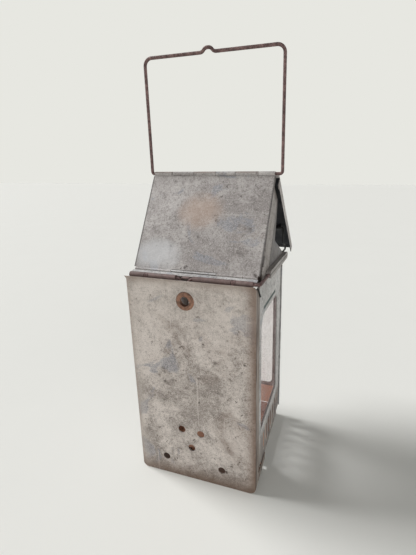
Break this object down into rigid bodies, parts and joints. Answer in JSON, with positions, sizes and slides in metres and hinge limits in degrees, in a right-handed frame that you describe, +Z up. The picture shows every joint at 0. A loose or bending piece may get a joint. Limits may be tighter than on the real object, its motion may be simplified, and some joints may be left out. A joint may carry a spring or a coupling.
{
  "type": "folding lantern",
  "caption": "Folding sheet-metal candle lantern with a solid back, hinged mica-window sides, a gabled roof and a wire carrying bail.",
  "frame": {"origin": "centre of the body's base, on the surface that it stands on", "axes": "+X across the solid back to the right as seen from behind it, +Y from the solid back towards the front door, +Z up"},
  "size_m": [0.1206, 0.1361, 0.3586],
  "materials": {
    "tinned_sheet": "dull tinned steel, mottled and stained",
    "dull_sheet": "dull tinned steel, browned",
    "roof_sheet": "dull tinned steel with a warm bloom",
    "sooty_sheet": "smoke-blackened tinned steel",
    "rusty_wire": "rusty iron wire",
    "black_wire": "blackened iron wire",
    "rusty_eyelet": "brown rusty iron",
    "mica": "aged clear mica, smoky and streaked"
  },
  "bodies": {
    "back_tray": {"back_panel": "tinned_sheet", "eyelet": "rusty_eyelet", "leaf_pins": "rusty_wire", "pan_pin": "rusty_wire", "keeper_clips": "rusty_wire", "wire_tail": "black_wire"},
    "right_side": {"right_leaf": "tinned_sheet", "right_mica": "mica", "right_mica_stay": "dull_sheet"},
    "left_side": {"left_leaf": "tinned_sheet", "left_mica": "mica", "left_mica_stay": "dull_sheet", "door_pin": "rusty_wire"},
    "door": {"front_door": "tinned_sheet", "front_mica": "mica", "front_mica_stay": "dull_sheet", "door_catch": "dull_sheet"},
    "base": {"base_pan": "dull_sheet", "candle_socket": "dull_sheet", "socket_rivets": "rusty_wire"},
    "keeper": {"keeper_wire": "rusty_wire", "keeper_sleeve": "dull_sheet"},
    "link": {"roof_link": "dull_sheet", "crease_pin": "rusty_wire"},
    "roof_back": {"roof_back_plate": "roof_sheet", "ridge_pin": "rusty_wire", "gable_pins": "rusty_wire"},
    "roof_front": {"roof_front_plate": "sooty_sheet", "hook_staples": "sooty_sheet"},
    "bail": {"carry_bail": "rusty_wire"},
    "gable_right": {"right_gable": "dull_sheet"},
    "gable_left": {"left_gable": "dull_sheet"},
    "hook_right": {"right_hook": "black_wire"},
    "hook_left": {"left_hook": "black_wire"}
  },
  "joints": [
    {"name": "right_side_fold", "type": "hinge", "parent": "back_tray", "child": "right_side", "pos_m": [0.0505, -0.044, 0.1], "axis": [0, 0, 1], "range_deg": [0, 90]},
    {"name": "left_side_fold", "type": "hinge", "parent": "back_tray", "child": "left_side", "pos_m": [-0.0505, -0.041, 0.1], "axis": [0, 0, -1], "range_deg": [0, 90]},
    {"name": "door_swing", "type": "hinge", "parent": "left_side", "child": "door", "pos_m": [-0.054, 0.0501, 0.1], "axis": [0, 0, 1], "range_deg": [0, 270]},
    {"name": "base_fold", "type": "hinge", "parent": "back_tray", "child": "base", "pos_m": [0, -0.022, 0.0016], "axis": [1, 0, 0], "range_deg": [0, 90]},
    {"name": "keeper_lift", "type": "hinge", "parent": "back_tray", "child": "keeper", "pos_m": [0, -0.046, 0.184], "axis": [1, 0, 0], "range_deg": [0, 6]},
    {"name": "roof_link_fold", "type": "hinge", "parent": "back_tray", "child": "link", "pos_m": [0, -0.046, 0.184], "axis": [1, 0, 0], "range_deg": [0, 122]},
    {"name": "roof_back_fold", "type": "hinge", "parent": "link", "child": "roof_back", "pos_m": [0, -0.038, 0.1862], "axis": [1, 0, 0], "range_deg": [0, 87]},
    {"name": "roof_front_lift", "type": "hinge", "parent": "roof_back", "child": "roof_front", "pos_m": [0, 0.00444, 0.26214], "axis": [1, 0, 0], "range_deg": [0, 60]},
    {"name": "bail_swing", "type": "hinge", "parent": "roof_back", "child": "bail", "pos_m": [0, 0.00444, 0.26214], "axis": [-1, 0, 0], "range_deg": [-140, 128]},
    {"name": "right_gable_fold", "type": "hinge", "parent": "roof_back", "child": "gable_right", "pos_m": [0.0532, -0.01772, 0.2184], "axis": [0, 0.4879, 0.8729], "range_deg": [0, 90]},
    {"name": "left_gable_fold", "type": "hinge", "parent": "roof_back", "child": "gable_left", "pos_m": [-0.0532, -0.01553, 0.21718], "axis": [0, -0.4879, -0.8729], "range_deg": [0, 90]},
    {"name": "right_hook_swing", "type": "hinge", "parent": "roof_front", "child": "hook_right", "pos_m": [0.048, 0.0556, 0.21143], "axis": [1, 0, 0], "range_deg": [0, 12]},
    {"name": "left_hook_swing", "type": "hinge", "parent": "roof_front", "child": "hook_left", "pos_m": [-0.048, 0.0556, 0.21143], "axis": [1, 0, 0], "range_deg": [0, 12]}
  ],
  "couplings": [
    {"joint": "door_swing", "follows": "left_side_fold", "ratio": 3}
  ]
}
